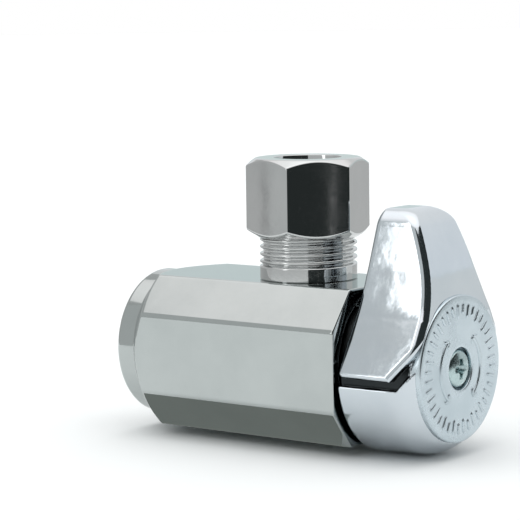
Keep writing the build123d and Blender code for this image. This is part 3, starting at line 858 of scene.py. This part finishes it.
def screw_skin(p):
    """Signed distance from the handle's screw: a pan head with a cross recess, and its shank."""
    x, y, z = p[:, 0], np.abs(p[:, 1]), np.abs(p[:, 2])
    reach = np.hypot(y, z)
    dome = np.hypot(x - (SCREW_FACE - SCREW_DOME_RADIUS), reach) - SCREW_DOME_RADIUS
    head = rounded_max(reach - SCREW_HEAD_RADIUS, dome, 0.45)
    head = rounded_max(head, SCREW_HEAD_BACK - x, 0.15)
    shank = rounded_max(reach - SCREW_SHANK_RADIUS, SCREW_TIP - x, 0.3)
    skin = rounded_min(head, rounded_max(shank, x - FRONT_X - 0.2, 0.1), 0.1)
    depth = SCREW_FACE - x
    arm, blade, middle = (wide - taper * depth for wide, taper in (CROSS_ARM, CROSS_BLADE, CROSS_MIDDLE))
    slot = np.minimum(rounded_max(y - blade, z - arm, 0.08), rounded_max(z - blade, y - arm, 0.08))
    slot = rounded_min(slot, reach - middle, 0.1)
    slot = rounded_max(slot, depth - CROSS_DEPTH, 0.1)
    return rounded_max(skin, -slot, 0.06)


def make_screw():
    margin = 0.3
    reach = SCREW_HEAD_RADIUS + 0.2
    low = (SCREW_TIP - margin, -reach, -reach)
    high = (SCREW_FACE + margin, reach, reach)
    points, quads = surface_net(screw_skin, low, high, SCREW_CELL)
    points, normals = settle(screw_skin, points)
    return points, quads, normals


points, quads, normals = make_body()
add_piece("body_detail", points, quads, body_chrome, "valve", ["valve_body"], normals)
points, quads = make_nipple()
add_piece("nipple_detail", points, quads, outlet_chrome, "valve", ["outlet_nipple"])
points, quads, normals = make_nut()
add_piece("nut_detail", points, quads, nut_chrome, "nut", ["compression_nut"], normals)
points, quads = make_ferrule()
add_piece("ferrule_detail", points, quads, ferrule_brass, "ferrule", ["compression_ferrule"])
points, quads, normals = make_handle()
handle_piece = add_piece("handle_detail", points, quads, handle_chrome, "handle", ["handle"],
                         normals)
# The groove's faces under the lever's foot get the near-black painted shade as their second material.
handle_piece.data.materials.append(handle_groove_painted_shade)
painted_shade_faces = in_groove(points[quads].mean(axis=1))
handle_piece.data.polygons.foreach_set("material_index", painted_shade_faces.astype(np.int32))
points, quads = make_disc()
add_piece("disc_detail", points, quads, disc_satin, "handle", [])
points, quads = make_marks()
add_piece("mark_detail", points, quads, disc_satin, "handle", [])
points, quads, normals = make_screw()
add_piece("screw_detail", points, quads, zinc, "handle", ["handle_screw"], normals)

# Nodes shown by their own CAD meshes, with these materials.
KEPT_NODES = {
    "ball": ball_chrome,
    "bonnet": bonnet_painted_shade,
    "stem": brass,
    "inlet_seat": ptfe,
    "outlet_seat": ptfe,
    "bonnet_seat": ptfe,
    "stem_thrust_washer": ptfe,
    "inlet_seat_o_ring": nitrile,
    "outlet_o_ring": nitrile,
    "bonnet_o_ring": nitrile,
    "stem_o_ring_inner": nitrile,
    "stem_o_ring_outer": nitrile,
}
for name, material in KEPT_NODES.items():
    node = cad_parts[name]
    node.data.materials.clear()
    node.data.materials.append(material)


# ---------------------------------------------------------------- stage

def glowing(name, color):
    """A plain glowing stage material."""
    material = bpy.data.materials.new(name)
    material.use_nodes = True
    tree = material.node_tree
    tree.nodes.clear()
    glow = tree.nodes.new("ShaderNodeEmission")
    glow.inputs["Color"].default_value = (*color, 1)
    output = tree.nodes.new("ShaderNodeOutputMaterial")
    tree.links.new(glow.outputs[0], output.inputs["Surface"])
    return material


def stage_mesh(name, points, quads, material, seen_by):
    """A stage object that only some kinds of ray can see."""
    mesh = bpy.data.meshes.new(name)
    mesh.from_pydata([tuple(p) for p in points], [], quads.tolist())
    mesh.materials.append(material)
    item = bpy.data.objects.new(name, mesh)
    bpy.context.scene.collection.objects.link(item)
    for ray in ("camera", "diffuse", "glossy", "transmission", "volume_scatter", "shadow"):
        setattr(item, "visible_" + ray, ray in seen_by)


def grid_quads(rows, columns):
    """Quads between the rows of a grid of points."""
    corners = [r * columns + c for r in range(rows - 1) for c in range(columns - 1)]
    return np.array([(k, k + 1, k + 1 + columns, k + columns) for k in corners])


def card(name, azimuths, elevations, distance, color, left_edge=None):
    """A curved card round the valve that only its reflections show.

    Its left edge can follow (elevation, azimuth) pairs instead of being upright.
    """
    points = []
    for up in np.linspace(*elevations, CARD_ROWS):
        left = azimuths[0]
        if left_edge:
            left = np.interp(up, *zip(*left_edge))
        out, rise = distance * cos(radians(up)), distance * sin(radians(up))
        for a in np.radians(np.linspace(left, azimuths[1], CARD_COLUMNS)):
            points.append((OUTLET_X * MM + out * cos(a), out * sin(a), rise))
    quads = grid_quads(CARD_ROWS, CARD_COLUMNS)
    stage_mesh(name, points, quads, glowing(name, color), ("glossy",))


def level_sheet(name, xs, ys, z, material, seen_by):
    """A level rectangle of the stage."""
    corners = [(xs[0], ys[0], z), (xs[1], ys[0], z), (xs[1], ys[1], z), (xs[0], ys[1], z)]
    stage_mesh(name, corners, np.array([(0, 1, 2, 3)]), material, seen_by)


def add_stage():
    """The pale floor, its shaded part as the chrome shows it, and a white dome behind everything."""
    floor_z = cad_box[0].z
    pale = bpy.data.materials.new("pale_floor")
    pale.use_nodes = True
    shader = pale.node_tree.nodes["Principled BSDF"]
    shader.inputs["Base Color"].default_value = FLOOR_COLOR
    shader.inputs["Roughness"].default_value = 0.9
    whole = (-FLOOR_HALF, FLOOR_HALF)
    level_sheet("floor", whole, whole, floor_z, pale, ("camera", "diffuse", "glossy", "shadow"))
    shaded = glowing("shaded_floor", SHADED_COLOR)
    level_sheet("shaded_floor", SHADED_X, SHADED_Y, floor_z + SHADED_LIFT, shaded, ("glossy",))
    ring = np.linspace(0, 2 * pi, 49)
    rise = np.linspace(-pi / 2, pi / 2, 25)
    dome = [(DOME_RADIUS * cos(e) * cos(a), DOME_RADIUS * cos(e) * sin(a), DOME_RADIUS * sin(e))
            for e in rise for a in ring]
    white = glowing("backdrop", (1, 1, 1))
    stage_mesh("backdrop", dome, grid_quads(len(rise), len(ring)), white, ("camera",))


def add_world():
    """Soft surroundings: grey round the horizon, brighter above and darker below."""
    world = bpy.data.worlds.new("studio")
    bpy.context.scene.world = world
    world.use_nodes = True
    tree = world.node_tree
    where = tree.nodes.new("ShaderNodeTexCoord").outputs["Generated"]
    split = tree.nodes.new("ShaderNodeSeparateXYZ")
    ramp = tree.nodes.new("ShaderNodeValToRGB")
    fit = tree.nodes.new("ShaderNodeMapRange")
    fit.inputs["From Min"].default_value = -1
    tree.links.new(where, split.inputs[0])
    tree.links.new(split.outputs["Z"], fit.inputs["Value"])
    tree.links.new(fit.outputs[0], ramp.inputs["Fac"])
    stops = [((1 + sin(radians(elevation))) / 2, color) for elevation, color in WORLD_LEVELS]
    elements = ramp.color_ramp.elements
    elements[0].position, elements[0].color = stops[0][0], (*stops[0][1], 1)
    elements[1].position, elements[1].color = stops[-1][0], (*stops[-1][1], 1)
    for position, color in stops[1:-1]:
        elements.new(position).color = (*color, 1)
    background = tree.nodes["Background"]
    tree.links.new(ramp.outputs["Color"], background.inputs["Color"])
    background.inputs["Strength"].default_value = 1.0


def add_light(name, azimuth, elevation, strength, angle):
    """A soft distant light that chrome doesn't reflect."""
    sun = bpy.data.lights.new(name, "SUN")
    sun.energy = strength
    sun.angle = radians(angle)
    item = bpy.data.objects.new(name, sun)
    item.visible_glossy = False
    a, e = radians(azimuth), radians(elevation)
    towards = Vector((cos(e) * cos(a), cos(e) * sin(a), sin(e)))
    item.rotation_euler = towards.to_track_quat("Z", "Y").to_euler()
    bpy.context.scene.collection.objects.link(item)


def add_camera():
    """The camera at the photograph's viewing angle."""
    azimuth, elevation, roll = radians(CAMERA_AZIMUTH), radians(CAMERA_ELEVATION), radians(CAMERA_ROLL)
    distance, aim = CAMERA_DISTANCE * MM, Vector(CAMERA_AIM) * MM
    forward = Vector((-sin(azimuth) * cos(elevation), cos(azimuth) * cos(elevation), -sin(elevation)))
    right = Vector((cos(azimuth), sin(azimuth), 0))
    up = right.cross(forward)
    rolled_right = cos(roll) * right + sin(roll) * up
    rolled_up = cos(roll) * up - sin(roll) * right
    turn = Matrix((rolled_right, rolled_up, -forward)).transposed().to_4x4()
    camera = bpy.data.objects.new("camera", bpy.data.cameras.new("camera"))
    camera.data.sensor_width = 36
    camera.data.lens = CAMERA_LENS
    camera.data.clip_start = 0.01
    camera.matrix_world = Matrix.Translation(aim - forward * distance) @ turn
    bpy.context.scene.collection.objects.link(camera)
    bpy.context.scene.camera = camera


add_stage()
add_world()
card("black_card", (-56, 42), (-40, 40), 0.16, (0.03, 0.036, 0.036))
card("light_strip", (-32.95, -32.75), (-40, 40), 0.158, (0.4, 0.4, 0.4))
card("far_grey_card", (-215, -153.2), (-3.6, 41), 0.2, (0.63, 0.64, 0.64))
card("dark_strip", (-153.2, -153.0), (-3.6, 41), 0.2, (0.2, 0.2, 0.2))
card("left_grey_card", (-153.0, -56), (-3.6, 41), 0.2, (0.67, 0.69, 0.69))
card("right_grey_card", (68, 105), (-3.6, 7), 0.2, (0.65, 0.66, 0.66))
card("right_pale_card", (46, 68), (-3.6, 12), 0.2, (0.83, 0.85, 0.85))
white_edge = [(6, -118.5), (18, -118.5), (20, -117.9), (30, -120.4), (37, -122.6), (44, -122.6)]
card("white_card", (-122.6, -108), (6, 44), 0.19, (2.3, 2.3, 2.3), white_edge)
add_light("key", -120, 62, 0.5, 50)
add_light("fill", 60, 70, 0.25, 60)
add_camera()
bpy.context.scene.view_settings.view_transform = "Standard"
